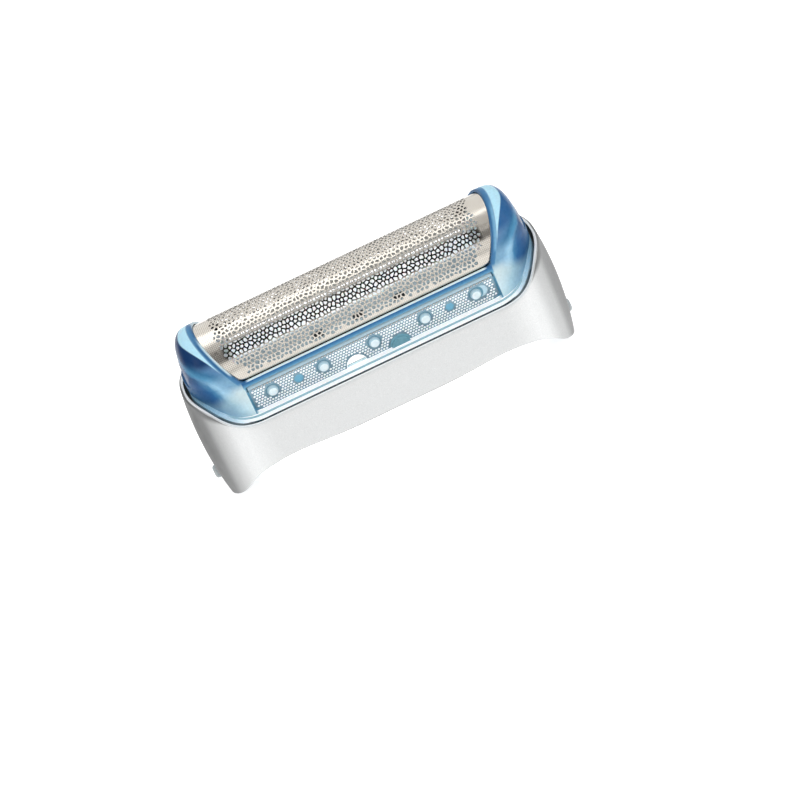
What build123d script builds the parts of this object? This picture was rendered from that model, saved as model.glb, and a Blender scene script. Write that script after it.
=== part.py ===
"""Shaver foil head: a silver outer frame, a translucent blue foil carrier
snapped into it, and a thin bent shaving foil hooked over pins on the carrier.

Millimetres. +X is the long axis, -Y is the front, +Z is up.
Origin: middle of the plane the two end legs of the frame stand on.
"""
import math
import os
from build123d import *

os.makedirs("parts", exist_ok=True)

# ---------------------------------------------------------------- dimensions
# foil arch
ARCH_Z = 19.6            # height of the arch axis
FOIL_R = 6.4             # outer radius of the bent foil
FOIL_T = 0.1             # sheet thickness
MARGIN_Y = 7.0           # plane the foil margins lie on
MARGIN_BOT = 13.85       # lower edge of the margins
MARGIN_HALF = 19.4       # half length of the margins
OPEN_X = 19.7            # half length of the opening at the rail
OPEN_SLOPE = 0.47        # how much the opening widens per mm of height
OPEN_ROUND = 0.9         # rounding of the two lower corners of the opening
FOIL_TUCK = 0.7          # how far the foil ends reach under the cheeks

# carrier
RIDGE_R = 6.9            # arch radius of the end cheeks
RAIL_TOP = 19.25
RAIL_BOT = 18.45
SLOT_BOT = 17.4          # lower edge of the slot the foil passes through
BAY_Y = 6.2              # half depth of the cutter bay
LEDGE_1 = 13.75          # inner ledge below the margin
LEDGE_2 = 13.45          # outer ledge beside the rim of the frame
SHELF_Z = 12.6           # the carrier rests on a shelf of the frame here

# pins, holes and notches of the margins
PIN_X = (-16.2, -8.1, 0.0, 8.1, 16.2)
PIN_Z = 16.1
PIN_R = 0.85
PIN_TIP = 7.6
HOLE_R = 1.1
VENT_X = 12.05           # small locating holes of the foil
VENT_Z = 15.95
VENT_R = 0.7
NOTCH_X = 3.5
NOTCH_R = 1.6

# outer frame
RIM_Z = 13.85            # rim height along the front and back
ARCH_BOT = 6.45          # lower edge of the front and back walls

# snap legs
LUG_Z = 1.8
LUG_R = 1.03
LUG_TIP = 29.45
WINDOW_R = 1.3


# ------------------------------------------------------------------- helpers
def tower(rows):
    """Loft through rounded rectangles given as (z, half length, half depth, corner)."""
    return loft([Pos(0, 0, z) * RectangleRounded(2 * a, 2 * b, r) for z, a, b, r in rows])


def along_y(lines, half=20.0):
    """Prism of a closed outline in XZ, extruded both ways along Y."""
    return extrude(make_face(Plane.XZ * lines), amount=half, both=True)


def along_x(lines, half=40.0):
    """Prism of a closed outline in YZ, extruded both ways along X."""
    return extrude(make_face(Plane.YZ * lines), amount=half, both=True)


def block(x0, x1, y0, y1, z0, z1):
    return Pos((x0 + x1) / 2, (y0 + y1) / 2, (z0 + z1) / 2) * Box(x1 - x0, y1 - y0, z1 - z0)


def rod_y(x, y0, y1, z, r):
    """Cylinder along Y between y0 and y1."""
    return Pos(x, (y0 + y1) / 2, z) * Rot(90, 0, 0) * Cylinder(r, abs(y1 - y0))


def rim_cut(dx, dz, lift=0.0, top=60.0):
    """Space above the rim: low along the front, swept up to the two ends, lift higher there."""
    rise = [(19.0, 13.85), (20.8, 13.93), (22.2, 14.12), (23.5, 14.65), (24.7, 15.55), (25.8, 16.6),
            (26.9, 17.3), (28.2, 17.58), (30.0, 17.6)]
    line = [(x + dx, z + dz + lift * min(max((x - 20.0) / 5.0, 0.0), 1.0)) for x, z in rise]
    curve = Spline(line, tangents=[(1, 0), (1, 0)])
    mirrored = Spline([(-x, z) for x, z in line], tangents=[(-1, 0), (-1, 0)])
    x0, z0 = line[0]
    x1, z1 = line[-1]
    return curve + mirrored + Polyline((-x0, z0), (x0, z0)) + Polyline((x1, z1), (x1, top), (-x1, top), (-x1, z1))


def open_x(z):
    return OPEN_X + OPEN_SLOPE * (z - RAIL_TOP)


def trapezoid(extra, z0, z1):
    """Outline of the foil opening widened by extra, between two heights."""
    return Polyline((-open_x(z0) - extra, z0), (open_x(z0) + extra, z0),
                    (open_x(z1) + extra, z1), (-open_x(z1) - extra, z1), close=True)


def shifted(pts, t):
    """Polyline moved sideways by t (to its left)."""
    out = []
    n = len(pts)
    for i, p in enumerate(pts):
        normals = []
        if i > 0:
            dx, dy = p[0] - pts[i - 1][0], p[1] - pts[i - 1][1]
            s = math.hypot(dx, dy)
            normals.append((-dy / s, dx / s))
        if i < n - 1:
            dx, dy = pts[i + 1][0] - p[0], pts[i + 1][1] - p[1]
            s = math.hypot(dx, dy)
            normals.append((-dy / s, dx / s))
        nx = sum(v[0] for v in normals)
        ny = sum(v[1] for v in normals)
        k = t / ((nx * normals[0][0] + ny * normals[0][1]))
        out.append((p[0] + nx * k, p[1] + ny * k))
    return out


# --------------------------------------------------------------- outer frame
SHELL_ROWS = [(0, 28.3, 10.90, 8.8), (7, 28.95, 10.85, 9.0), (RIM_Z, 28.85, 10.45, 9.5), (18.5, 28.25, 10.05, 9.6)]
shell = tower(SHELL_ROWS)
room = tower([(-1, 27.35, 9.65, 7.6), (7, 27.7, 9.6, 7.9), (SHELF_Z - 0.2, 27.7, 9.6, 8.5),
              (RIM_Z, 27.85, 9.8, 9.0), (19.0, 27.4, 9.6, 9.2)])
frame = shell - room
frame -= along_y(rim_cut(0.0, 0.0))

# lower edge: a flat arch between the two end legs
foot = [(20.0, ARCH_BOT + 0.05), (22.0, 6.0), (23.6, 5.0), (25.0, 3.45), (26.2, 2.0), (27.2, 0.75), (27.75, -0.6)]
arch_line = Spline([(-x, z) for x, z in reversed(foot)] + [(-10.0, ARCH_BOT - 0.15), (0.0, ARCH_BOT - 0.25), (10.0, ARCH_BOT - 0.15)] + foot)
frame -= along_y(arch_line + Polyline((27.75, -0.6), (27.75, -5), (-27.75, -5), (-27.75, -0.6)))

# round the outer edges of the rim and of the lower edge
def off_shell(p):
    """Plan distance of a point from the outer face of the frame."""
    z = min(max(p.Z, 0.0), 18.5)
    for lo, hi in zip(SHELL_ROWS, SHELL_ROWS[1:]):
        if lo[0] <= z <= hi[0]:
            k = (z - lo[0]) / (hi[0] - lo[0])
            a, b, r = [lo[i] + (hi[i] - lo[i]) * k for i in (1, 2, 3)]
            return math.hypot(max(abs(p.X) - (a - r), 0), max(abs(p.Y) - (b - r), 0)) - r


def on_shell(e):
    if any(abs(off_shell(e.position_at(t))) > 0.22 for t in (0.1, 0.5, 0.9)):
        return False
    return abs(e.position_at(0).Z - e.position_at(1).Z) < 0.9 * e.length


frame = fillet([e for e in frame.edges() if e.position_at(0.5).Z > 13.5 and on_shell(e)], 0.35)
frame = fillet([e for e in frame.edges() if 0.5 < e.position_at(0.5).Z < 6.8 and on_shell(e)], 0.3)
# level underside of the legs
frame -= block(-40, 40, -20, 20, -6, 0)

# shelf the carrier rests on, with guide ribs under it
for s in (-1, 1):
    y0, y1 = sorted((s * 8.6, s * 9.9))
    frame += block(-18.0, 18.0, y0, y1, SHELF_Z - 0.9, SHELF_Z)
    for x in (-15.0, -5.0, 5.0, 15.0):
        y0, y1 = sorted((s * 8.9, s * 9.9))
        frame += block(x - 0.5, x + 0.5, y0, y1, ARCH_BOT + 0.6, SHELF_Z - 0.9)

# windows for the lugs of the carrier
frame -= Pos(0, 0, LUG_Z) * Rot(0, 90, 0) * Cylinder(WINDOW_R, 80)

# -------------------------------------------------------------- foil carrier
lower = tower([(10.5, 26.7, 7.9, 7.8), (14, 27.2, 7.75, 7.6), (17, 27.35, 7.28, 7.05),
               (ARCH_Z, 27.35, RIDGE_R, 6.6)])
dome = tower([(ARCH_Z, 27.35, RIDGE_R, 6.6), (22, 27.1, 7.4, 6.3), (24.5, 26.65, 7.4, 5.6), (27.2, 25.95, 7.4, 5.0)])
# arch band of the cheeks: a half round that falls away softly towards the ends
SHOULDER = [(22.6, RIDGE_R), (23.4, RIDGE_R - 0.02), (24.3, RIDGE_R - 0.1), (25.0, RIDGE_R - 0.34), (25.58, RIDGE_R - 0.8),
            (26.08, RIDGE_R - 1.5), (26.53, RIDGE_R - 2.7), (26.93, RIDGE_R - 4.6)]
curve_r = Spline(SHOULDER, tangents=[(1, 0), (0.25, -1)])
curve_l = Spline([(-x, r) for x, r in SHOULDER], tangents=[(-1, 0), (-0.25, -1)])
xe, re = SHOULDER[-1]
barrel = make_face(Plane.XZ * (curve_r + curve_l + Polyline((-22.6, RIDGE_R), (22.6, RIDGE_R))
                               + Polyline((xe, re), (xe, 0), (-xe, 0), (-xe, re))))
barrel = Pos(0, 0, ARCH_Z) * revolve(barrel, axis=Axis.X, revolution_arc=360)
dome &= barrel
carrier = lower + dome

# ledges that run along the rim of the frame
c1 = along_y(rim_cut(-0.3, LEDGE_1 - RIM_Z, 0.35))
c2 = along_y(rim_cut(-0.2, LEDGE_2 - RIM_Z, 0.3))
ledge1 = tower([(SHELF_Z, 27.0, 7.97, 7.8), (19.0, 26.8, 7.97, 7.8)]) - c1
ledge2 = tower([(SHELF_Z, 27.5, 8.85, 8.5), (14.0, 27.45, 8.9, 8.55), (16.0, 27.4, 9.25, 8.9), (19.0, 27.25, 9.45, 9.05)]) - c2
carrier += ledge1 + ledge2

# hollow inside, open below
inner = tower([(8, 25.4, BAY_Y, 6.1), (14, 25.6, BAY_Y, 6.1), (ARCH_Z, 25.6, BAY_Y, 6.1), (22, 25.2, BAY_Y, 6.1), (25.2, 24.2, BAY_Y, 6.1)])
low = inner & block(-40, 40, -20, 20, 0, 17.2)
cap = make_face(Plane.YZ * (CenterArc((0, ARCH_Z), 5.5, 0, 180)
                            + Polyline((-5.5, ARCH_Z), (-5.5, 10), (5.5, 10), (5.5, ARCH_Z))))
ends = inner & extrude(cap, amount=40, both=True)
ends -= along_y(trapezoid(1.2, 5.0, 40.0))
bay = block(-OPEN_X + 0.4, OPEN_X - 0.4, -BAY_Y, BAY_Y, 0, RAIL_TOP + 0.05)
carrier -= low
carrier -= ends
carrier -= bay

# opening for the foil, and the groove its ends are tucked into
opening = make_face(Plane.XZ * trapezoid(0.0, RAIL_TOP, 40.0))
opening = fillet(opening.vertices().sort_by(Axis.Z)[:2], OPEN_ROUND)
carrier -= extrude(opening, amount=20, both=True)
tuck = along_y(trapezoid(FOIL_TUCK + 0.2, SLOT_BOT, 40.0))
ring = make_face(Plane.YZ * (CenterArc((0, ARCH_Z), FOIL_R + 0.12, 0, 180)
                             + Polyline((-FOIL_R - 0.12, ARCH_Z), (-FOIL_R - 0.12, SLOT_BOT), (-BAY_Y, SLOT_BOT), (-BAY_Y, ARCH_Z))
                             + CenterArc((0, ARCH_Z), BAY_Y, 180, -180)
                             + Polyline((BAY_Y, ARCH_Z), (BAY_Y, SLOT_BOT), (FOIL_R + 0.12, SLOT_BOT), (FOIL_R + 0.12, ARCH_Z))))
carrier -= extrude(ring, amount=40, both=True) & tuck

# recessed panel, slot under the rail, pins, pockets and key on each long side
for s in (-1, 1):
    y0, y1 = sorted((s * MARGIN_Y, s * 12))
    recess = Plane.XZ * Pos(0, (LEDGE_1 + RAIL_BOT) / 2) * RectangleRounded(2 * OPEN_X, RAIL_BOT - LEDGE_1, 0.7)
    carrier -= extrude(recess, amount=20, both=True) & block(-40, 40, y0, y1, 0, 40)
    y0, y1 = sorted((s * (BAY_Y - 0.1), s * 12))
    carrier -= block(-MARGIN_HALF - 0.2, MARGIN_HALF + 0.2, y0, y1, SLOT_BOT, RAIL_BOT)
    for x in PIN_X:
        pin = rod_y(x, s * (MARGIN_Y - 0.3), s * PIN_TIP, PIN_Z, PIN_R)
        tip = pin.edges().sort_by(Axis.Y)[-1 if s > 0 else 0]
        carrier += fillet(tip, 0.35)
    key = rod_y(-s * NOTCH_X, s * (MARGIN_Y - 0.2), s * (MARGIN_Y + 0.45), LEDGE_1 - 0.1, NOTCH_R - 0.15)
    carrier += key & block(-40, 40, -20, 20, LEDGE_1 - 0.1, 40)
    pocket = rod_y(s * NOTCH_X, s * 5, s * (MARGIN_Y + 0.2), LEDGE_1, NOTCH_R - 0.1)
    carrier -= pocket & block(-40, 40, -20, 20, LEDGE_1, 40)

# snap legs with round lugs
for s in (-1, 1):
    x0, x1 = sorted((s * 25.7, s * 26.75))
    leg = block(x0, x1, -2.6, 2.6, 0.45, 11.5)
    lug = Pos(s * (26.2 + LUG_TIP) / 2, 0, LUG_Z) * Rot(0, 90, 0) * Cylinder(LUG_R, LUG_TIP - 26.2)
    tip = lug.edges().sort_by(Axis.X)[-1 if s > 0 else 0]
    carrier += leg + fillet(tip, 0.45)

# -------------------------------------------------------------- shaving foil
mid = FOIL_R - FOIL_T / 2
flat = MARGIN_Y + FOIL_T / 2
# centre line of one side, from the lower edge up to the arch
right = [(flat, MARGIN_BOT), (flat, 17.75), (mid, 18.4), (mid, ARCH_Z)]


def skin(t, bend1, bend2):
    """One face line of the sheet: right margin, arch, left margin."""
    r = shifted(right, -t)
    l = [(-p[0], p[1]) for p in reversed(r)]
    line = FilletPolyline(*r, radius=(bend1, bend2))
    arc = CenterArc((0, ARCH_Z), mid + t, 0, 180)
    line2 = FilletPolyline(*l, radius=(bend2, bend1))
    return line + arc + line2


h = FOIL_T / 2
outer = skin(h, 0.35 + h, 0.35 - h)
inner_skin = skin(-h, 0.35 - h, 0.35 + h)
o_r, i_r = shifted(right, -h)[0], shifted(right, h)[0]
section = make_face(Plane.YZ * (outer + inner_skin + Polyline(o_r, i_r)
                                + Polyline((-o_r[0], o_r[1]), (-i_r[0], i_r[1]))))
foil = extrude(section, amount=26, both=True)
outline = Polyline((-MARGIN_HALF, MARGIN_BOT + 0.65), (0.65 - MARGIN_HALF, MARGIN_BOT), (0.65 - MARGIN_HALF, 10),
                   (MARGIN_HALF - 0.65, 10), (MARGIN_HALF - 0.65, MARGIN_BOT), (MARGIN_HALF, MARGIN_BOT + 0.65), (MARGIN_HALF, 18.5),
                   (open_x(18.5) + FOIL_TUCK, 18.5), (open_x(30) + FOIL_TUCK, 30),
                   (-open_x(30) - FOIL_TUCK, 30), (-open_x(18.5) - FOIL_TUCK, 18.5),
                   (-MARGIN_HALF, 18.5), close=True)
foil &= along_y(outline)
for s in (-1, 1):
    for i, x in enumerate(PIN_X):
        foil -= rod_y(x, s * 6.8, s * 7.4, PIN_Z, HOLE_R)
        if x * s < -15:
            foil -= rod_y(x - s * 0.9, s * 6.8, s * 7.4, PIN_Z, HOLE_R)
            xa, xb = sorted((x, x - s * 0.9))
            y0, y1 = sorted((s * 6.8, s * 7.4))
            foil -= block(xa, xb, y0, y1, PIN_Z - HOLE_R, PIN_Z + HOLE_R)
    for x in (-VENT_X, VENT_X):
        foil -= rod_y(x, s * 6.8, s * 7.4, VENT_Z, VENT_R)
    for x in (-NOTCH_X, NOTCH_X):
        foil -= rod_y(x, s * 6.8, s * 7.4, MARGIN_BOT, NOTCH_R)

# ------------------------------------------------------------------ write out
for name, shape in (("outer_frame", frame), ("foil_carrier", carrier), ("shaving_foil", foil)):
    shape.label = name
    export_step(shape, f"parts/{name}.step")
    bb = shape.bounding_box()
    print(name, "solids", len(shape.solids()), "volume", round(shape.volume, 1),
          "box", [round(v, 2) for v in (*bb.min, *bb.max)], "valid", shape.is_valid)
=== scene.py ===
import math
import random

import bmesh
import bpy
import numpy as np
from mathutils import Matrix, Vector


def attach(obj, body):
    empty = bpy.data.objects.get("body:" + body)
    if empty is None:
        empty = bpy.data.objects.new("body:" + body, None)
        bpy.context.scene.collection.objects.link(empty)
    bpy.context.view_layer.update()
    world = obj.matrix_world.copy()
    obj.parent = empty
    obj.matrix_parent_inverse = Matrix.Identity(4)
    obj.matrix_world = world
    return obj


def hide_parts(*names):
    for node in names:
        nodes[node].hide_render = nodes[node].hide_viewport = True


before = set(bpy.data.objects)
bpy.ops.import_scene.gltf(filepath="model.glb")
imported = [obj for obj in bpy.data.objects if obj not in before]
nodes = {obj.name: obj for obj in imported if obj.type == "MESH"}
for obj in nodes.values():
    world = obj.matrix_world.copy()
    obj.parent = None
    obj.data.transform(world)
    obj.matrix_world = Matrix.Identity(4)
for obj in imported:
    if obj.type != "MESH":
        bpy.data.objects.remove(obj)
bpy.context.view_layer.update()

MM = 0.001
scene = bpy.context.scene
random.seed(7)

# ------------------------------------------------------------ node helpers


def new_material(name):
    mat = bpy.data.materials.new(name)
    mat.use_nodes = True
    tree = mat.node_tree
    tree.nodes.clear()
    out = tree.nodes.new("ShaderNodeOutputMaterial")
    bsdf = tree.nodes.new("ShaderNodeBsdfPrincipled")
    tree.links.new(bsdf.outputs["BSDF"], out.inputs["Surface"])
    return mat, tree, bsdf, out


def coords(tree, scale):
    tc = tree.nodes.new("ShaderNodeTexCoord")
    mp = tree.nodes.new("ShaderNodeMapping")
    mp.inputs["Scale"].default_value = scale
    tree.links.new(tc.outputs["Object"], mp.inputs["Vector"])
    return mp.outputs["Vector"]


def noise(tree, vec, scale, detail=3.0, rough=0.5):
    n = tree.nodes.new("ShaderNodeTexNoise")
    n.inputs["Scale"].default_value = scale
    n.inputs["Detail"].default_value = detail
    n.inputs["Roughness"].default_value = rough
    tree.links.new(vec, n.inputs["Vector"])
    return n.outputs["Fac"]


def ramp(tree, fac, stops):
    r = tree.nodes.new("ShaderNodeValToRGB")
    el = r.color_ramp.elements
    while len(el) > 1:
        el.remove(el[-1])
    el[0].position, el[0].color = stops[0][0], stops[0][1]
    for pos, col in stops[1:]:
        e = el.new(pos)
        e.color = col
    tree.links.new(fac, r.inputs["Fac"])
    return r.outputs["Color"]


def bump(tree, height, strength, dist):
    b = tree.nodes.new("ShaderNodeBump")
    b.inputs["Strength"].default_value = strength
    b.inputs["Distance"].default_value = dist
    tree.links.new(height, b.inputs["Height"])
    return b.outputs["Normal"]


def grey(v, a=1.0):
    return (v, v, v, a)


def srgb(r, g, b):
    """Linear colour from the 0-255 values seen on a screen."""
    return tuple(c / 3294.6 if c < 10.3 else ((c / 255 + 0.055) / 1.055) ** 2.4 for c in (r, g, b)) + (1.0,)


def put(tree, val, sock):
    if isinstance(val, bpy.types.NodeSocket):
        tree.links.new(val, sock)
    else:
        sock.default_value = val


def calc(tree, op, a, b=None, c=None):
    n = tree.nodes.new("ShaderNodeMath")
    n.operation = op
    for k, val in enumerate((a, b, c)):
        if val is not None:
            put(tree, val, n.inputs[k])
    return n.outputs[0]


def step(tree, val, lo, hi):
    """0 at lo, 1 at hi, eased; lo may lie above hi."""
    n = tree.nodes.new("ShaderNodeMapRange")
    n.interpolation_type = "SMOOTHSTEP"
    put(tree, val, n.inputs["Value"])
    put(tree, lo, n.inputs["From Min"])
    put(tree, hi, n.inputs["From Max"])
    return n.outputs["Result"]


def band(tree, val, lo, hi, soft):
    return calc(tree, "MULTIPLY", step(tree, val, lo - soft, lo + soft), step(tree, val, hi + soft, hi - soft))


def times(tree, *vals):
    out = vals[0]
    for v in vals[1:]:
        out = calc(tree, "MULTIPLY", out, v)
    return out


def blend(tree, fac, a, b):
    n = tree.nodes.new("ShaderNodeMix")
    n.data_type = "RGBA"
    put(tree, fac, n.inputs[0])
    put(tree, a, n.inputs[6])
    put(tree, b, n.inputs[7])
    return n.outputs[2]


def times_col(tree, col, k):
    """Colour scaled by a number."""
    n = tree.nodes.new("ShaderNodeVectorMath")
    n.operation = "SCALE"
    put(tree, col, n.inputs[0])
    n.inputs[3].default_value = k
    return n.outputs[0]


def plan(tree, ax, ay, cx, cy, r):
    """Distance in plan from a rounded outline with corner centres at (cx, cy)."""
    dx = calc(tree, "MAXIMUM", calc(tree, "SUBTRACT", ax, cx), 0.0)
    dy = calc(tree, "MAXIMUM", calc(tree, "SUBTRACT", ay, cy), 0.0)
    return calc(tree, "SUBTRACT", calc(tree, "SQRT", calc(tree, "ADD", calc(tree, "MULTIPLY", dx, dx), calc(tree, "MULTIPLY", dy, dy))), r)


def xyz(tree, scale=1000.0):
    """Object position in millimetres."""
    sp = tree.nodes.new("ShaderNodeSeparateXYZ")
    tree.links.new(coords(tree, (scale, scale, scale)), sp.inputs[0])
    return sp.outputs[0], sp.outputs[1], sp.outputs[2]


RIM = [(19.0, 13.85), (20.8, 13.93), (22.2, 14.12), (23.5, 14.65), (24.7, 15.55), (25.8, 16.6), (26.9, 17.3), (28.2, 17.58)]


def shelf(dx, dz, lift):
    """Line of a ledge beside the rim, higher by lift at the two ends."""
    return [(q + dx, v + dz + lift * min(max((q - 20.0) / 5.0, 0.0), 1.0)) for q, v in RIM]


def line(tree, val, pts, lo, hi):
    """Value read from a list of (place, value) points; lo and hi bracket the places."""
    vals = [q[1] for q in pts]
    a, b = min(vals), max(vals)
    f = ramp(tree, calc(tree, "DIVIDE", calc(tree, "SUBTRACT", val, lo), hi - lo), [((q - lo) / (hi - lo), grey((v - a) / (b - a))) for q, v in pts])
    return calc(tree, "MULTIPLY_ADD", f, b - a, a)


def shades(tree, val, stops):
    """Colour read from a list of (place, screen colour) stops."""
    lo, hi = stops[0][0], stops[-1][0]
    return ramp(tree, calc(tree, "DIVIDE", calc(tree, "SUBTRACT", val, lo), hi - lo), [((q - lo) / (hi - lo), srgb(*c)) for q, c in stops])


# ---------------------------------------------------------------- materials


def make_silver():
    mat, t, b, _ = new_material("silver paint")
    v = coords(t, (1, 1, 1))
    flakes = noise(t, v, 9000.0, 2.0, 0.6)
    cloud = noise(t, v, 700.0, 3.0, 0.5)
    col = ramp(t, flakes, [(0.30, (0.72, 0.73, 0.73, 1)), (0.55, (0.80, 0.81, 0.81, 1)), (0.75, (0.88, 0.89, 0.89, 1))])
    # painted light: brightest on the front corners as a painted highlight, darker round the two ends as painted shade
    x, y, z = xyz(t)
    ax, ay = calc(t, "ABSOLUTE", x), calc(t, "ABSOLUTE", y)
    painted_light_along_x = [(0.0, 0.75), (18.5, 0.75), (20.6, 0.815), (22.6, 0.91), (24.0, 0.88), (25.4, 0.68), (26.5, 0.53), (27.3, 0.29), (28.2, 0.19), (28.9, 0.16)]
    tone_and_painted_light = ramp(t, calc(t, "DIVIDE", ax, 30.0), [(q / 30.0, grey(v)) for q, v in painted_light_along_x])
    # painted light and shade: the left end is scaled darker and the right end lighter
    ends = t.nodes.new("ShaderNodeVectorMath")
    ends.operation = "SCALE"
    t.links.new(tone_and_painted_light, ends.inputs[0])
    t.links.new(line(t, x, [(-29.0, 0.82), (-25.5, 1.0), (25.5, 1.0), (27.6, 1.26), (29.0, 1.42)], -30.0, 30.0), ends.inputs[3])
    tone_and_painted_light = ends.outputs[0]
    # dark grey inside, below the rim line: painted shade of the gap between frame and carrier
    below = calc(t, "SUBTRACT", line(t, ax, RIM, 0.0, 30.0), z)
    inside = times(t, step(t, plan(t, ax, ay, 19.9, 1.75, 8.3), 0.05, -0.12), step(t, below, 0.12, 0.3))
    # painted highlight: a bright line along the rim; painted shade: a darker line along the lower edge
    rim_highlight = times(t, step(t, below, 0.20, 0.08), step(t, plan(t, ax, ay, 18.75, 0.75, 9.05), 0.42, 0.24))
    tone_and_painted_light = blend(t, rim_highlight, tone_and_painted_light, grey(1.10))
    low = [(19.0, 6.35), (20.0, 6.5), (22.0, 6.0), (23.6, 5.0), (25.0, 3.45), (26.2, 2.0), (27.2, 0.75), (27.75, -0.6)]
    tone_and_painted_light = blend(t, times(t, step(t, calc(t, "SUBTRACT", z, line(t, ax, low, 0.0, 30.0)), 0.34, 0.16), 0.35), tone_and_painted_light, grey(0.45))
    mottle = noise(t, v, 2300.0, 2.0, 0.5)
    tone_and_painted_light = blend(t, 0.5, tone_and_painted_light, blend(t, mottle, times_col(t, tone_and_painted_light, 0.93), times_col(t, tone_and_painted_light, 1.07)))
    tone_and_painted_light = blend(t, inside, tone_and_painted_light, grey(0.22))
    mul = t.nodes.new("ShaderNodeMix")
    mul.data_type = "RGBA"
    mul.blend_type = "MULTIPLY"
    mul.inputs[0].default_value = 1.0
    t.links.new(col, mul.inputs[6])
    t.links.new(tone_and_painted_light, mul.inputs[7])
    t.links.new(mul.outputs[2], b.inputs["Base Color"])
    rough = ramp(t, cloud, [(0.3, grey(0.40)), (0.7, grey(0.50))])
    t.links.new(rough, b.inputs["Roughness"])
    b.inputs["Metallic"].default_value = 0.12
    b.inputs["Specular IOR Level"].default_value = 0.2
    t.links.new(bump(t, flakes, 0.06, 0.00002), b.inputs["Normal"])
    return mat


def make_blue():
    mat, t, b, out = new_material("translucent blue plastic")
    v = coords(t, (1, 1, 1))
    cloud = noise(t, v, 190.0, 3.0, 0.55)
    grain = noise(t, v, 2600.0, 2.0, 0.5)
    x, y, z = xyz(t)
    ax, ay = calc(t, "ABSOLUTE", x), calc(t, "ABSOLUTE", y)
    yy = calc(t, "MULTIPLY", y, y)
    # tint over the end caps, partly the depth of the plastic and partly painted light: a pale streak
    # that leans outwards as it climbs is a painted reflection, deep blue outside it, and the foot is painted paler as
    # light from the table below
    streak = noise(t, coords(t, (1, 1, 0.3)), 520.0, 3.0, 0.55)
    lean = [(14.0, 20.0), (16.0, 20.6), (17.0, 21.3), (18.0, 21.9), (19.0, 22.4), (20.0, 22.8), (21.0, 23.3), (22.0, 24.2), (23.0, 25.6), (24.2, 27.0)]
    w = calc(t, "SUBTRACT", ax, line(t, z, lean, 10.0, 30.0))
    w = calc(t, "ADD", w, calc(t, "MULTIPLY_ADD", streak, 1.5, -0.75))
    low = shades(t, w, [(-1.2, (222, 243, 248)), (0.2, (203, 231, 241)), (1.0, (177, 213, 229)), (1.8, (158, 195, 215)), (2.8, (149, 187, 211)), (3.8, (122, 164, 194))])
    mid = shades(t, w, [(-2.4, (118, 160, 185)), (-1.0, (124, 164, 193)), (0.0, (154, 196, 221)), (0.5, (138, 182, 209)), (1.2, (74, 129, 168)), (2.0, (42, 94, 143)), (3.2, (38, 82, 129)), (4.4, (52, 94, 134))])
    top = shades(t, w, [(-3.2, (98, 132, 168)), (-2.2, (84, 126, 164)), (-1.3, (62, 113, 150)), (-0.2, (84, 142, 178)), (0.5, (76, 129, 167)), (1.2, (38, 80, 122)), (2.4, (28, 58, 98))])
    fade = line(t, z, [(14.0, 0.99), (15.4, 0.95), (16.4, 0.83), (17.4, 0.76), (19.0, 0.76)], 10.0, 30.0)
    vm = t.nodes.new("ShaderNodeVectorMath")
    vm.operation = "SCALE"
    t.links.new(low, vm.inputs[0])
    t.links.new(fade, vm.inputs[3])
    skew = calc(t, "MULTIPLY_ADD", calc(t, "MINIMUM", calc(t, "MAXIMUM", w, -1.0), 3.0), 0.45, z)
    col = blend(t, step(t, skew, 17.5, 19.3), vm.outputs[0], mid)
    col = blend(t, step(t, z, 20.4, 22.6), col, top)
    # rim round the opening and the pale land beside it on the arched cap; the rim's bands, lighter on the right, are
    # painted light and shade, and the land's pale colour is a painted highlight
    outer = calc(t, "MULTIPLY_ADD", yy, -0.086, 25.5)
    d_in = calc(t, "SUBTRACT", calc(t, "SUBTRACT", ax, calc(t, "MULTIPLY_ADD", calc(t, "SUBTRACT", z, 19.25), 0.47, 19.7)), 0.72)
    d_out = calc(t, "SUBTRACT", ax, outer)
    high = step(t, z, 21.8, 23.2)
    rim = times(t, step(t, d_in, 0.12, -0.08), step(t, z, 18.9, 19.6))
    # painted shade: a dark navy band high on the outer cap, darker on the left than on the right
    cap_top_shade = times(t, step(t, d_out, 2.8, 1.0), step(t, d_out, -0.1, 0.05), step(t, z, 22.9, 24.2))
    col = blend(t, cap_top_shade, col, blend(t, step(t, x, -1.0, 1.0), srgb(26, 56, 98), srgb(50, 96, 144)))
    lip = shades(t, d_in, [(-0.80, (198, 214, 222)), (-0.60, (184, 206, 216)), (-0.44, (88, 132, 168)), (-0.30, (54, 96, 138)), (-0.12, (64, 110, 150)), (0.12, (112, 162, 194))])
    deep = shades(t, d_in, [(-0.80, (52, 96, 138)), (-0.45, (70, 118, 160)), (-0.12, (78, 126, 166)), (0.12, (112, 160, 192))])
    soft = shades(t, d_in, [(-0.80, (50, 94, 136)), (-0.52, (62, 108, 150)), (-0.30, (104, 152, 186)), (0.12, (134, 184, 212))])
    # painted light: the right side of the rim lighter
    lip = blend(t, step(t, x, -1.0, 1.0), lip, soft)
    col = blend(t, rim, col, blend(t, band(t, z, 21.3, 26.0, 0.4), deep, lip))
    # painted highlight: the land beside the rim pale
    land = times(t, step(t, d_in, 0.0, 0.2), step(t, d_out, 0.1, -0.1), high)
    col = blend(t, land, col, (0.45, 0.72, 0.85, 1))
    # inside of the cheeks
    rr = calc(t, "SQRT", calc(t, "ADD", yy, calc(t, "POWER", calc(t, "SUBTRACT", z, 19.6), 2.0)))
    tunnel = times(t, step(t, rr, 6.3, 6.2), step(t, d_in, 0.62, 0.56), step(t, z, 18.6, 18.9))
    col = blend(t, tunnel, col, (0.80, 0.87, 0.90, 1))
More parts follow.
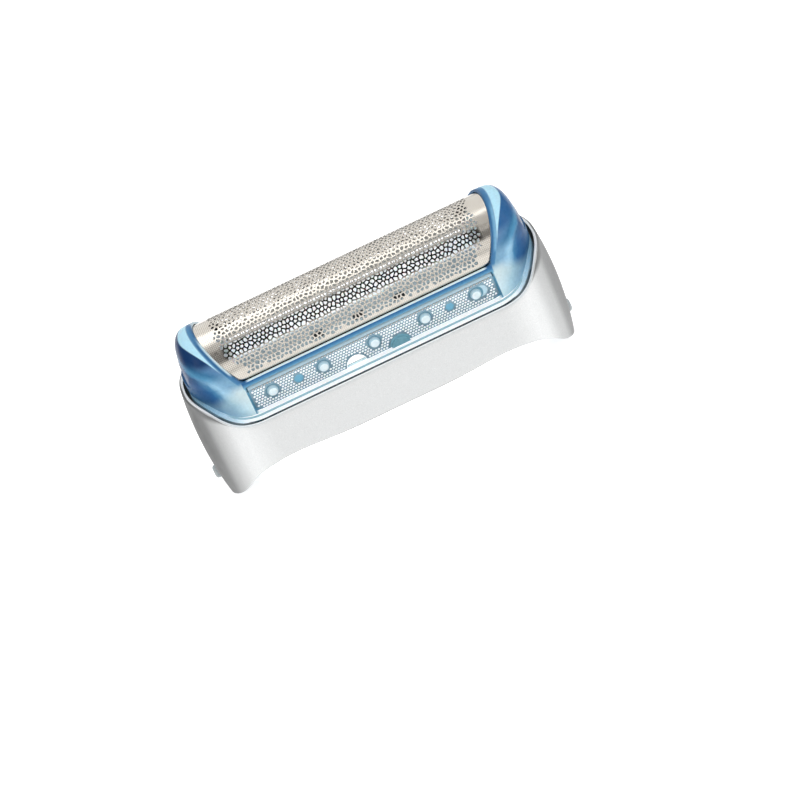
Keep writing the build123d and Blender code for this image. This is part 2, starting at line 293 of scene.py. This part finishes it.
    # rail over the strip, shading from pale at its foot to dark blue at its top
    rail = times(t, step(t, ax, 20.0, 19.8), band(t, z, 18.2, 19.4, 0.05), step(t, ay, 6.3, 6.5))
    col = blend(t, rail, col, shades(t, z, [(18.3, (138, 180, 204)), (18.55, (98, 150, 184)), (18.8, (74, 126, 166)), (19.05, (52, 102, 148)), (19.4, (50, 98, 144))]))
    # painted highlight along the top edge of the rail
    col = blend(t, times(t, rail, step(t, z, 19.16, 19.22), step(t, ax, 19.3, 18.6)), col, (0.70, 0.86, 0.92, 1))
    # inside of the bay and of the lower room; the bay walls are painted dark grey low down as painted shade and pale
    # above
    bay = times(t, step(t, ax, 20.8, 20.2), step(t, ay, 6.4, 6.25), step(t, z, 19.5, 19.4))
    slot = times(t, step(t, ax, 19.9, 19.7), step(t, ay, 7.03, 6.98), step(t, z, 17.3, 17.38), step(t, z, 18.62, 18.5))
    col = blend(t, slot, col, (0.52, 0.525, 0.51, 1))
    wallc = ramp(t, calc(t, "DIVIDE", z, 20.0), [(0.60, (0.25, 0.30, 0.32, 1)), (0.712, (0.27, 0.315, 0.335, 1)), (0.73, (0.97, 0.98, 0.98, 1))])
    col = blend(t, bay, col, wallc)
    # three small near-black patches low on each bay wall: painted shade standing in for pockets that are not modelled
    pk = calc(t, "ABSOLUTE", calc(t, "SUBTRACT", calc(t, "PINGPONG", x, 6.7), 3.35))
    pocket_shade = times(t, bay, step(t, ax, 8.3, 8.1), step(t, pk, 2.35, 2.55), band(t, z, 11.5, 12.7, 0.1))
    col = blend(t, pocket_shade, col, (0.012, 0.014, 0.016, 1))
    # floor of the strip, with painted shade along its edges and as a darker ring round each pin
    flat = times(t, step(t, ax, 19.9, 19.8), step(t, ay, 7.08, 7.05), step(t, ay, 6.8, 6.9), step(t, z, 17.5, 17.4), step(t, z, 13.4, 13.5))
    col = blend(t, flat, col, (0.95, 0.98, 0.99, 1))
    # painted shade along the edges of the strip floor and of the slot
    border_shade = calc(t, "MAXIMUM", step(t, ax, 19.26, 19.34), times(t, step(t, calc(t, "SUBTRACT", ax, z), 4.80, 4.88), step(t, z, 14.7, 14.6)))
    col = blend(t, times(t, calc(t, "MAXIMUM", flat, slot), border_shade), col, (0.10, 0.25, 0.36, 1))
    # free end of the slotted hole, painted a darker blue-grey as shade
    sd = calc(t, "SQRT", calc(t, "ADD", calc(t, "POWER", calc(t, "SUBTRACT", ax, 16.9), 2.0), calc(t, "POWER", calc(t, "SUBTRACT", z, 16.1), 2.0)))
    col = blend(t, times(t, flat, step(t, sd, 1.22, 1.16), step(t, calc(t, "MULTIPLY", x, y), 0.0, -1.0)), col, (0.42, 0.58, 0.66, 1))
    px = calc(t, "WRAP", x, 4.05, -4.05)
    pd = calc(t, "SQRT", calc(t, "ADD", calc(t, "MULTIPLY", px, px), calc(t, "POWER", calc(t, "SUBTRACT", z, 16.1), 2.0)))
    # painted shade: a darker ring round each pin on the strip floor
    col = blend(t, times(t, flat, band(t, pd, 0.80, 1.2, 0.04)), col, (0.13, 0.28, 0.37, 1))
    # plain darker blue spots behind the two small holes of the margin: painted shade
    vd = calc(t, "SQRT", calc(t, "ADD", calc(t, "POWER", calc(t, "SUBTRACT", ax, 12.05), 2.0), calc(t, "POWER", calc(t, "SUBTRACT", z, 15.95), 2.0)))
    col = blend(t, times(t, flat, step(t, vd, 0.80, 0.74)), col, (0.15, 0.36, 0.50, 1))
    # pin heads, with a pale painted highlight in the middle of each
    tip = times(t, step(t, pd, 0.90, 0.86), step(t, ay, 7.08, 7.14), step(t, ax, 18.0, 17.8), step(t, z, 17.5, 17.4), step(t, z, 14.6, 14.8))
    col = blend(t, tip, col, (0.40, 0.56, 0.64, 1))
    col = blend(t, times(t, tip, step(t, pd, 0.70, 0.58)), col, (0.74, 0.85, 0.89, 1))
    # side walls of the recess, painted dark blue as shade
    wall = times(t, band(t, ax, 19.55, 19.76, 0.04), step(t, z, 18.5, 18.4), step(t, z, 13.68, 13.82), step(t, ay, 7.02, 7.06))
    col = blend(t, wall, col, (0.14, 0.34, 0.50, 1))
    # key in the notch
    kd = calc(t, "SQRT", calc(t, "ADD", calc(t, "POWER", calc(t, "SUBTRACT", ax, 3.5), 2.0), calc(t, "POWER", calc(t, "SUBTRACT", z, 13.85), 2.0)))
    key = times(t, step(t, kd, 1.66, 1.6), step(t, calc(t, "MULTIPLY", x, y), 0.0, -1.0), step(t, ay, 6.9, 7.0), step(t, z, 13.77, 13.83))
    col = blend(t, key, col, (0.17, 0.36, 0.44, 1))
    # stepped ledge round the foot of the caps, painted near-white at the front as painted light and greyer blue towards
    # the ends as painted shade; its riser is painted darker as shade
    over = calc(t, "SUBTRACT", z, line(t, ax, shelf(-0.3, -0.1, 0.35), 0.0, 30.0))
    over2 = calc(t, "SUBTRACT", z, line(t, ax, shelf(-0.2, -0.4, 0.3), 0.0, 30.0))
    foot = times(t, step(t, plan(t, ax, ay, 19.6, 0.15, 7.6), -0.9, -0.8), step(t, over, 0.10, 0.03))
    ledge = shades(t, ax, [(0.0, (252, 253, 253)), (21.0, (252, 253, 253)), (22.4, (218, 235, 246)), (23.2, (197, 219, 231)), (24.5, (176, 206, 223)), (25.5, (150, 187, 208)), (27.5, (112, 146, 166))])
    col = blend(t, foot, col, ledge)
    # painted light: the sill near-white like the front of the ledge
    sill = times(t, step(t, ax, 20.2, 19.8), step(t, z, 13.85, 13.77), step(t, ay, 7.0, 7.05))
    col = blend(t, sill, col, (0.98, 0.99, 0.99, 1))
    riser_shade = times(t, band(t, plan(t, ax, ay, 19.1, 0.17, 7.8), -0.05, 0.03, 0.02), step(t, over, 0.08, 0.04))
    col = blend(t, riser_shade, col, (0.30, 0.48, 0.56, 1))
    # painted shade: the outer side of the upper ledge near-black, darkening the gap to the frame
    reach = line(t, z, [(12.6, 8.52), (14.0, 8.56), (16.0, 8.9), (19.0, 9.1)], 10.0, 20.0)
    edge = times(t, step(t, calc(t, "SUBTRACT", plan(t, ax, ay, 18.7, 0.34, 0.0), reach), -0.08, -0.03), step(t, calc(t, "ADD", over2, line(t, ax, [(20.5, 0.0), (22.5, 0.2), (29.0, 0.24)], 0.0, 30.0)), 0.06, 0.02), line(t, ax, [(20.0, 1.0), (22.5, 0.6), (29.0, 0.6)], 0.0, 30.0))
    col = blend(t, edge, col, (0.05, 0.08, 0.10, 1))
    # clear lugs
    lug = times(t, step(t, ax, 27.3, 27.6), step(t, z, 3.6, 3.2))
    col = blend(t, lug, col, (0.40, 0.43, 0.44, 1))
    tone = ramp(t, grain, [(0.3, grey(0.90)), (0.7, grey(1.0))])
    mul = t.nodes.new("ShaderNodeMix")
    mul.data_type = "RGBA"
    mul.blend_type = "MULTIPLY"
    mul.inputs[0].default_value = 1.0
    t.links.new(col, mul.inputs[6])
    t.links.new(tone, mul.inputs[7])
    t.links.new(mul.outputs[2], b.inputs["Base Color"])
    rough = ramp(t, cloud, [(0.3, grey(0.20)), (0.7, grey(0.30))])
    t.links.new(rough, b.inputs["Roughness"])
    b.inputs["Subsurface Weight"].default_value = 0.25
    b.inputs["Subsurface Radius"].default_value = (0.5, 0.8, 1.0)
    b.inputs["Subsurface Scale"].default_value = 0.0008
    b.inputs["IOR"].default_value = 1.47
    # light from the bright table that comes through the thin panel, the ledges and the bay walls
    lit = calc(t, "ADD", calc(t, "MULTIPLY", flat, 0.26), calc(t, "ADD", calc(t, "MULTIPLY", calc(t, "MAXIMUM", foot, sill), 0.10), calc(t, "MULTIPLY", calc(t, "MAXIMUM", bay, times(t, slot, 1.8)), 0.12)))
    glow = t.nodes.new("ShaderNodeVectorMath")
    glow.operation = "SCALE"
    t.links.new(mul.outputs[2], glow.inputs[0])
    t.links.new(lit, glow.inputs[3])
    t.links.new(glow.outputs[0], b.inputs["Emission Color"])
    b.inputs["Emission Strength"].default_value = 1.0
    b.inputs["Specular IOR Level"].default_value = 0.04
    b.inputs["Coat Weight"].default_value = 0.03
    b.inputs["Coat Roughness"].default_value = 0.13
    t.links.new(bump(t, cloud, 0.05, 0.0001), b.inputs["Normal"])
    return mat


def make_foil():
    mat, t, b, _ = new_material("foil metal")
    v = coords(t, (1, 1, 1))
    fine = noise(t, coords(t, (1, 6, 6)), 700.0, 3.0, 0.6)
    col = ramp(t, fine, [(0.3, (0.70, 0.65, 0.58, 1)), (0.7, (0.80, 0.76, 0.69, 1))])
    # fine cross-hatch of the rolled sheet
    x, y, z = xyz(t)
    ang = calc(t, "ARCTAN2", calc(t, "MULTIPLY", y, -1.0), calc(t, "SUBTRACT", z, 19.6))
    h1 = calc(t, "SINE", calc(t, "MULTIPLY", x, 2 * math.pi / 0.27))
    h2 = calc(t, "SINE", calc(t, "MULTIPLY", ang, 2 * math.pi * 6.4 / 0.27))
    hatch = calc(t, "MULTIPLY_ADD", calc(t, "ADD", h1, h2), 0.25, 0.5)
    tone = ramp(t, hatch, [(0.0, grey(0.62)), (1.0, grey(1.0))])
    # the inner face of the sheet is painted dark as shade inside the arch, less dark low on the flanks
    rr = calc(t, "SQRT", calc(t, "ADD", calc(t, "MULTIPLY", y, y), calc(t, "POWER", calc(t, "SUBTRACT", z, 19.6), 2.0)))
    dark = times(t, step(t, rr, 6.375, 6.345), step(t, z, 19.0, 19.6))
    # the etched webs between the holes of the middle zone are painted darkest: painted shade
    deg = calc(t, "MULTIPLY", calc(t, "ABSOLUTE", ang), 180.0 / math.pi)
    web = times(t, band(t, deg, 39.0, 57.0, 3.0), step(t, calc(t, "ABSOLUTE", x), 20.7, 20.0))
    tone = blend(t, times(t, web, 0.96), tone, grey(0.04))
    # painted shade: the lowest zone of the arch darker
    tone = blend(t, times(t, step(t, deg, 70.0, 80.0), 0.4), tone, grey(0.50))
    # shadow where the sheet dips behind the rail
    tone = blend(t, times(t, step(t, z, 19.46, 19.36), step(t, calc(t, "ABSOLUTE", y), 6.365, 6.385)), tone, grey(0.04))
    tone = blend(t, dark, tone, blend(t, step(t, z, 19.8, 20.6), grey(0.50), grey(0.07)))
    mul = t.nodes.new("ShaderNodeMix")
    mul.data_type = "RGBA"
    mul.blend_type = "MULTIPLY"
    mul.inputs[0].default_value = 1.0
    t.links.new(col, mul.inputs[6])
    t.links.new(tone, mul.inputs[7])
    t.links.new(mul.outputs[2], b.inputs["Base Color"])
    b.inputs["Metallic"].default_value = 1.0
    rough = ramp(t, noise(t, v, 1500.0, 2.0), [(0.3, grey(0.15)), (0.7, grey(0.22))])
    t.links.new(rough, b.inputs["Roughness"])
    t.links.new(bump(t, hatch, 0.12, 0.00003), b.inputs["Normal"])
    return mat


def make_strip():
    mat, t, b, _ = new_material("foil margin metal")
    v = coords(t, (1, 1, 1))
    fine = noise(t, v, 1300.0, 3.0, 0.6)
    col = ramp(t, fine, [(0.3, (0.19, 0.305, 0.385, 1)), (0.7, (0.275, 0.40, 0.47, 1))])
    # painted light: the sheet is painted lighter where it bends in under the rail
    x, y, z = xyz(t)
    col = blend(t, step(t, z, 17.80, 17.86), col, (0.40, 0.53, 0.60, 1))
    # pale inner face, lit from inside the bay
    sn = t.nodes.new("ShaderNodeSeparateXYZ")
    t.links.new(t.nodes.new("ShaderNodeTexCoord").outputs["Normal"], sn.inputs[0])
    inner = times(t, step(t, calc(t, "MULTIPLY", sn.outputs[1], y), -0.5, -2.0), step(t, z, 17.3, 17.4))
    col = blend(t, inner, col, (0.27, 0.265, 0.255, 1))
    t.links.new(blend(t, inner, grey(0.0), (0.06, 0.06, 0.057, 1)), b.inputs["Emission Color"])
    b.inputs["Emission Strength"].default_value = 1.0
    t.links.new(col, b.inputs["Base Color"])
    b.inputs["Metallic"].default_value = 0.8
    rough = ramp(t, noise(t, v, 2500.0, 2.0), [(0.3, grey(0.42)), (0.7, grey(0.54))])
    t.links.new(rough, b.inputs["Roughness"])
    t.links.new(bump(t, fine, 0.08, 0.00003), b.inputs["Normal"])
    return mat


SILVER = make_silver()
BLUE = make_blue()
FOIL = make_foil()
STRIP = make_strip()


def paint(obj, mat):
    obj.data.materials.clear()
    obj.data.materials.append(mat)


def smooth(obj, angle=35.0):
    for p in obj.data.polygons:
        p.use_smooth = True
    bm = bmesh.new()
    bm.from_mesh(obj.data)
    lim = math.radians(angle)
    for e in bm.edges:
        if len(e.link_faces) == 2 and e.calc_face_angle(0.0) > lim:
            e.smooth = False
    bm.to_mesh(obj.data)
    bm.free()


# ------------------------------------------------------------ shaving foil
R_OUT = 6.4
ARCH_Z = 19.6
SHEET = 0.07
FLANK = 1.0
S_END = R_OUT * math.pi / 2 + FLANK
PITCH = 0.66
ROW = 0.62
JITTER = 0.31


def bar(s):
    """Half width of the web between holes: wider over the crown."""
    th = abs(math.degrees(s / R_OUT))
    return 0.128 if th < 19 else 0.092 if th < 36 else 0.112 if s < 0 else 0.102 if th < 57 else 0.092


def wrap(x, s, r):
    """Point of the bent sheet at length x and arc s (front positive), at radius r."""
    q = R_OUT * math.pi / 2
    if abs(s) <= q:
        th = s / R_OUT
        return (x * MM, -r * math.sin(th) * MM, (ARCH_Z + r * math.cos(th)) * MM)
    sg = 1 if s > 0 else -1
    return (x * MM, -sg * r * MM, (ARCH_Z - (abs(s) - q)) * MM)


def open_x(z):
    return 19.7 + 0.47 * (z - 19.25)


def x_limit(s):
    q = R_OUT * math.pi / 2
    z = ARCH_Z + R_OUT * math.cos(s / R_OUT) if abs(s) <= q else ARCH_Z - (abs(s) - q)
    return open_x(z) + 0.66


def clip(poly, nx, ny, d):
    """Part of a polygon with nx*x + ny*y <= d."""
    out = []
    n = len(poly)
    for i in range(n):
        a, b = poly[i], poly[(i + 1) % n]
        da, db = nx * a[0] + ny * a[1] - d, nx * b[0] + ny * b[1] - d
        if da <= 0:
            out.append(a)
        if (da < 0 < db) or (db < 0 < da):
            k = da / (da - db)
            out.append((a[0] + (b[0] - a[0]) * k, a[1] + (b[1] - a[1]) * k))
    return out


def cells():
    rnd = random.Random(11)
    dy = ROW
    rows = int(S_END / dy) + 2
    cols = int(24.5 / PITCH) + 2
    pts, grid = [], {}
    for j in range(-rows, rows + 1):
        for i in range(-cols, cols + 1):
            x = (i + (0.5 if j % 2 else 0.0)) * PITCH + rnd.uniform(-JITTER, JITTER) * PITCH
            s = j * dy + rnd.uniform(-JITTER, JITTER) * PITCH
            grid[(i, j)] = len(pts)
            pts.append((x, s))
    out = []
    for (i, j), k in grid.items():
        x, s = pts[k]
        if abs(s) > S_END + PITCH or abs(x) > 25.0:
            continue
        poly = [(x - 1.2, s - 1.2), (x + 1.2, s - 1.2), (x + 1.2, s + 1.2), (x - 1.2, s + 1.2)]
        hole = list(poly)
        for dj in (-2, -1, 0, 1, 2):
            for di in (-2, -1, 0, 1, 2):
                m = grid.get((i + di, j + dj))
                if m is None or m == k:
                    continue
                a, b = pts[m]
                nx, ny = a - x, b - s
                d = (a * a + b * b - x * x - s * s) / 2
                poly = clip(poly, nx, ny, d)
                hole = clip(hole, nx, ny, d - bar(s) * math.hypot(nx, ny))
        poly = clip(clip(poly, 0, 1, S_END), 0, -1, S_END)
        if len(poly) >= 3:
            out.append((poly, hole))
    return out


def tidy(poly, tol):
    """Polygon without points that lie on top of each other."""
    out = []
    for p in poly:
        if not out or math.hypot(p[0] - out[-1][0], p[1] - out[-1][1]) > tol:
            out.append(p)
    while len(out) > 1 and math.hypot(out[0][0] - out[-1][0], out[0][1] - out[-1][1]) <= tol:
        out.pop()
    return out


def build_arch():
    rnd = random.Random(5)
    verts, faces, index = [], [], {}

    def vid(x, s, side):
        lim = x_limit(s)
        x = max(-lim, min(lim, x))
        key = (round(x, 4), round(s, 4), side)
        if key not in index:
            index[key] = len(verts)
            verts.append(wrap(x, s, R_OUT if side else R_OUT - SHEET))
        return index[key]

    for poly, hole in cells():
        gx = sum(p[0] for p in poly) / len(poly)
        gs = sum(p[1] for p in poly) / len(poly)
        th = abs(math.degrees(gs / R_OUT))
        edge = 20.6 if th < 48 else 20.6 - (th - 48) * 0.066
        holed = th < 84 and abs(gx) < edge + rnd.uniform(-0.35, 0.25)
        poly = tidy(poly, 1e-4)
        hole = tidy(hole, 0.02)
        n = len(poly)
        if n < 3:
            continue
        top = [vid(p[0], p[1], 1) for p in poly]
        bot = [vid(p[0], p[1], 0) for p in poly]
        if len(set(top)) < 3:
            continue
        if not holed or len(hole) < 3:
            faces.append(top)
            faces.append(bot[::-1])
            continue
        # hole with its corners cut once
        ring = []
        m = len(hole)
        for i in range(m):
            p0, p1, p2 = hole[i - 1], hole[i], hole[(i + 1) % m]
            for q in (p0, p2):
                L = math.hypot(q[0] - p1[0], q[1] - p1[1])
                c = min(0.3, 0.07 / L)
                ring.append((p1[0] + (q[0] - p1[0]) * c, p1[1] + (q[1] - p1[1]) * c))
        m = len(ring)
        ht = [len(verts) + i for i in range(m)]
        verts.extend(wrap(p[0], p[1], R_OUT) for p in ring)
        hb = [len(verts) + i for i in range(m)]
        verts.extend(wrap(p[0], p[1], R_OUT - SHEET) for p in ring)
        # net between cell and hole, walked round by angle
        hx, hs = sum(p[0] for p in ring) / m, sum(p[1] for p in ring) / m
        ao = [math.atan2(p[1] - hs, p[0] - hx) for p in poly]
        ai = [math.atan2(p[1] - hs, p[0] - hx) for p in ring]
        i0, j0 = ao.index(min(ao)), ai.index(min(ai))
        i = j = 0
        while i < n or j < m:
            na = ao[(i0 + i + 1) % n] + (2 * math.pi if i + 1 >= n else 0)
            nb = ai[(j0 + j + 1) % m] + (2 * math.pi if j + 1 >= m else 0)
            o, q = (i0 + i) % n, (j0 + j) % m
            if j >= m or (i < n and na <= nb):
                k = (o + 1) % n
                faces.append([top[o], top[k], ht[q]])
                faces.append([bot[k], bot[o], hb[q]])
                i += 1
            else:
                k = (q + 1) % m
                faces.append([top[o], ht[k], ht[q]])
                faces.append([bot[o], hb[q], hb[k]])
                j += 1
        for i in range(m):
            j = (i + 1) % m
            faces.append([ht[i], ht[j], hb[j], hb[i]])
    faces = [f for f in faces if len(set(f)) == len(f)]
    me = bpy.data.meshes.new("foil_arch")
    me.from_pydata(verts, [], faces)
    me.validate()
    ob = bpy.data.objects.new("foil_arch", me)
    scene.collection.objects.link(ob)
    bm = bmesh.new()
    bm.from_mesh(me)
    bmesh.ops.recalc_face_normals(bm, faces=bm.faces)
    bm.to_mesh(me)
    bm.free()
    smooth(ob, 40)
    return ob


PIN_X = (-16.2, -8.1, 0.0, 8.1, 16.2)
PIN_Z, HOLE_R = 16.1, 1.0
VENT_X, VENT_Z, VENT_R = 12.05, 15.95, 0.7
NOTCH_X, NOTCH_R = 3.5, 1.6
M_TOP, M_BOT, M_HALF = 17.84, 13.85, 19.4


def circle(x, z, r, n):
    return [(x + r * math.cos(2 * math.pi * k / n), z + r * math.sin(2 * math.pi * k / n)) for k in range(n)]


def build_margin(side):
    """Flat margin with pin holes, vents, notches and the fine dot holes; side -1 is the front."""
    cu = bpy.data.curves.new("margin", "CURVE")
    cu.dimensions = "2D"
    cu.fill_mode = "BOTH"

    def ring(pts):
        sp = cu.splines.new("POLY")
        sp.points.add(len(pts) - 1)
        for p, q in zip(sp.points, pts):
            p.co = (q[0], q[1], 0, 1)
        sp.use_cyclic_u = True

    lower = []
    for cx in (-NOTCH_X, NOTCH_X):
        for k in range(17):
            a = math.pi - math.pi * k / 16
            lower.append((cx + NOTCH_R * math.cos(a), M_BOT + NOTCH_R * math.sin(a)))
    ring([(-M_HALF, M_BOT + 0.65), (-M_HALF + 0.65, M_BOT)] + lower + [(M_HALF - 0.65, M_BOT), (M_HALF, M_BOT + 0.65), (M_HALF, M_TOP), (-M_HALF, M_TOP)])
    blocked = []
    for x in PIN_X:
        if x * side < -15:
            d = -side * 0.9
            pts = []
            for k in range(33):
                a = -math.pi / 2 + math.pi * k / 32
                pts.append((max(x, x + d) + HOLE_R * math.cos(a), PIN_Z + HOLE_R * math.sin(a)))
            for k in range(33):
                a = math.pi / 2 + math.pi * k / 32
                pts.append((min(x, x + d) + HOLE_R * math.cos(a), PIN_Z + HOLE_R * math.sin(a)))
            ring(pts)
            blocked.append((x, PIN_Z, HOLE_R))
            blocked.append((x + d, PIN_Z, HOLE_R))
            blocked.append((x + d / 2, PIN_Z, HOLE_R))
        else:
            ring(circle(x, PIN_Z, HOLE_R, 40))
            blocked.append((x, PIN_Z, HOLE_R))
    for x in (-VENT_X, VENT_X):
        ring(circle(x, VENT_Z, VENT_R, 6 if x * side < 0 else 24))
        blocked.append((x, VENT_Z, VENT_R))
    for x in (-NOTCH_X, NOTCH_X):
        blocked.append((x, M_BOT, NOTCH_R))
    p, pz = 0.457, 0.436
    rows = int((M_TOP - M_BOT) / pz) + 1
    for j in range(rows):
        z = M_BOT + 0.27 + j * pz
        if z > M_TOP - 0.2:
            continue
        for i in range(-48, 49):
            x = (i + (0.5 if j % 2 else 0)) * p
            if abs(x) > M_HALF - 0.3 or abs(x) + (M_BOT + 0.65 - z) > M_HALF - 0.35 and z < M_BOT + 0.7:
                continue
            if any(math.hypot(x - bx, z - bz) < br + 0.22 for bx, bz, br in blocked):
                continue
            ring(circle(x, z, 0.2, 8))
    cu.extrude = 0.03
    ob = bpy.data.objects.new("margin", cu)
    scene.collection.objects.link(ob)
    bpy.context.view_layer.update()
    me = bpy.data.meshes.new_from_object(ob.evaluated_get(bpy.context.evaluated_depsgraph_get()))
    bpy.data.objects.remove(ob)
    # stand the plate up on the panel
    for v in me.vertices:
        x, z, d = v.co
        v.co = (x * MM, side * (7.05 + d) * MM, z * MM)
    out = bpy.data.objects.new("foil_margin_" + ("front" if side < 0 else "back"), me)
    scene.collection.objects.link(out)
    bm = bmesh.new()
    bm.from_mesh(me)
    bmesh.ops.remove_doubles(bm, verts=bm.verts, dist=1e-7)
    bmesh.ops.recalc_face_normals(bm, faces=bm.faces)
    bm.to_mesh(me)
    bm.free()
    return out


def build_bend(side):
    """Short joggle of the sheet from the arch out to the margin, behind the rail."""
    path = [(6.35, 18.66), (6.35, 18.54), (6.39, 18.43), (6.48, 18.33), (6.90, 17.99), (6.99, 17.92), (7.05, 17.86), (7.05, 17.80)]
    verts, faces = [], []
    for t in (0.035, -0.035):
        for k, (y, z) in enumerate(path):
            a, b = path[max(k - 1, 0)], path[min(k + 1, len(path) - 1)]
            dx, dz = b[0] - a[0], b[1] - a[1]
            L = math.hypot(dx, dz)
            ny, nz = -dz / L, dx / L
            for x in (-M_HALF, M_HALF):
                verts.append((x * MM, side * (y + ny * t) * MM, (z + nz * t) * MM))
    n = len(path)
    for k in range(n - 1):
        a = 2 * k
        faces.append([a, a + 1, a + 3, a + 2])
        b = 2 * n + a
        faces.append([b, b + 2, b + 3, b + 1])
        faces.append([a, a + 2, b + 2, b])
        faces.append([a + 1, b + 1, b + 3, a + 3])
    faces.append([0, 2 * n, 2 * n + 1, 1])
    e = 2 * (n - 1)
    faces.append([e, e + 1, 2 * n + e + 1, 2 * n + e])
    me = bpy.data.meshes.new("foil_bend")
    me.from_pydata(verts, [], faces)
    ob = bpy.data.objects.new("foil_bend_" + ("front" if side < 0 else "back"), me)
    scene.collection.objects.link(ob)
    bm = bmesh.new()
    bm.from_mesh(me)
    bmesh.ops.recalc_face_normals(bm, faces=bm.faces)
    bm.to_mesh(me)
    bm.free()
    smooth(ob, 40)
    return ob


foil_parts = [build_arch(), build_margin(-1), build_margin(1), build_bend(-1), build_bend(1)]
for ob in foil_parts:
    paint(ob, FOIL if "arch" in ob.name else STRIP)
    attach(ob, "root")
    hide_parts("shaving_foil")

# ------------------------------------------------------------- CAD nodes
paint(nodes["outer_frame"], SILVER)
paint(nodes["foil_carrier"], BLUE)

# ------------------------------------------------------------------- stage
bpy.ops.mesh.primitive_plane_add(size=6.0, location=(0, 0, 0))
floor = bpy.context.object
floor.name = "floor"
fm, ft, fb, _ = new_material("floor")
fv = coords(ft, (1, 1, 1))
ft.links.new(ramp(ft, noise(ft, fv, 6.0, 3.0), [(0.3, grey(0.68)), (0.7, grey(0.70))]), fb.inputs["Base Color"])
fb.inputs["Roughness"].default_value = 0.8
fb.inputs["Emission Color"].default_value = (1, 1, 1, 1)
fx, fy, fz = xyz(ft, 1.0)
glow = calc(ft, "SQRT", calc(ft, "ADD", calc(ft, "MULTIPLY", fx, fx), calc(ft, "MULTIPLY", fy, fy)))
pool = times(ft, step(ft, calc(ft, "ABSOLUTE", fx), 0.024, 0.016), step(ft, calc(ft, "ABSOLUTE", fy), 0.009, 0.005))
shine = calc(ft, "ADD", calc(ft, "MULTIPLY", step(ft, glow, 0.30, 0.09), 0.74), calc(ft, "MULTIPLY", pool, 3.0))
ft.links.new(shine, fb.inputs["Emission Strength"])
floor.data.materials.append(fm)

world = bpy.data.worlds.new("studio")
scene.world = world
world.use_nodes = True
wt = world.node_tree
wt.nodes.clear()
wo = wt.nodes.new("ShaderNodeOutputWorld")
bg = wt.nodes.new("ShaderNodeBackground")
tc = wt.nodes.new("ShaderNodeTexCoord")
sep = wt.nodes.new("ShaderNodeSeparateXYZ")
wt.links.new(tc.outputs["Generated"], sep.inputs[0])
# angle over the room from the front horizon (0) over the zenith (0.5) to the back (1)
lift = calc(wt, "DIVIDE", calc(wt, "ARCTAN2", sep.outputs["Z"], calc(wt, "MULTIPLY", sep.outputs["Y"], -1.0)), math.pi)
room = ramp(wt, lift, [(0.0, grey(0.80)), (0.03, grey(1.10)), (0.138, grey(1.15)), (0.168, grey(0.24)), (0.333, grey(0.20)), (0.395, grey(0.70)), (0.58, grey(0.74)), (0.66, grey(1.10)), (1.0, grey(1.10))])
wide = step(wt, calc(wt, "ABSOLUTE", sep.outputs["X"]), 0.24, 0.40)
room = blend(wt, wide, room, grey(0.60))
left = step(wt, sep.outputs["X"], -0.60, -0.90)
right_ = step(wt, sep.outputs["X"], 0.60, 0.90)
room = blend(wt, left, room, grey(0.04))
room = blend(wt, right_, room, grey(0.34))
wt.links.new(room, bg.inputs["Color"])
bg.inputs["Strength"].default_value = 1.0
wt.links.new(bg.outputs["Background"], wo.inputs["Surface"])


def area(name, loc, target, size, energy, size_y=None):
    li = bpy.data.lights.new(name, "AREA")
    li.energy = energy
    li.size = size
    if size_y:
        li.shape = "RECTANGLE"
        li.size_y = size_y
    ob = bpy.data.objects.new(name, li)
    ob.location = loc
    d = Vector(target) - Vector(loc)
    ob.rotation_euler = d.to_track_quat("-Z", "Y").to_euler()
    scene.collection.objects.link(ob)
    return ob


area("key", (-0.10, 0.14, 0.6), (0, 0, 0.01), 0.35, 0.5)
area("box_left", (-0.42, -0.42, 0.60), (0, 0, 0.01), 0.45, 2.1)
area("box_right", (0.42, -0.42, 0.60), (0, 0, 0.01), 0.45, 2.4)

# ------------------------------------------------------------------ camera
ELEV = math.radians(36.0)
AZIM = math.radians(-2.2)
ROLL = math.radians(25.35) + math.atan(math.tan(AZIM) * math.sin(ELEV))
DIST = 0.400
target = Vector((0, 0, 0.0116))
U = Vector((-math.sin(AZIM) * math.sin(ELEV), math.cos(AZIM) * math.sin(ELEV), math.cos(ELEV)))
X = Vector((math.cos(AZIM), math.sin(AZIM), 0))
back = Vector((math.sin(AZIM) * math.cos(ELEV), -math.cos(AZIM) * math.cos(ELEV), math.sin(ELEV)))
right = math.cos(ROLL) * X - math.sin(ROLL) * U
up = math.sin(ROLL) * X + math.cos(ROLL) * U
cam_data = bpy.data.cameras.new("camera")
cam = bpy.data.objects.new("camera", cam_data)
scene.collection.objects.link(cam)
m = Matrix((right, up, back)).transposed().to_4x4()
m.translation = target + back * DIST
cam.matrix_world = m
cam_data.sensor_width = 36.0
cam_data.lens = 36.0 * 400.0 / (800 / 6.79)
cam_data.shift_x = 29.04 / 800
cam_data.shift_y = -60.72 / 800
cam_data.clip_start = 0.01
cam_data.clip_end = 20.0
scene.camera = cam
scene.view_settings.view_transform = "Standard"
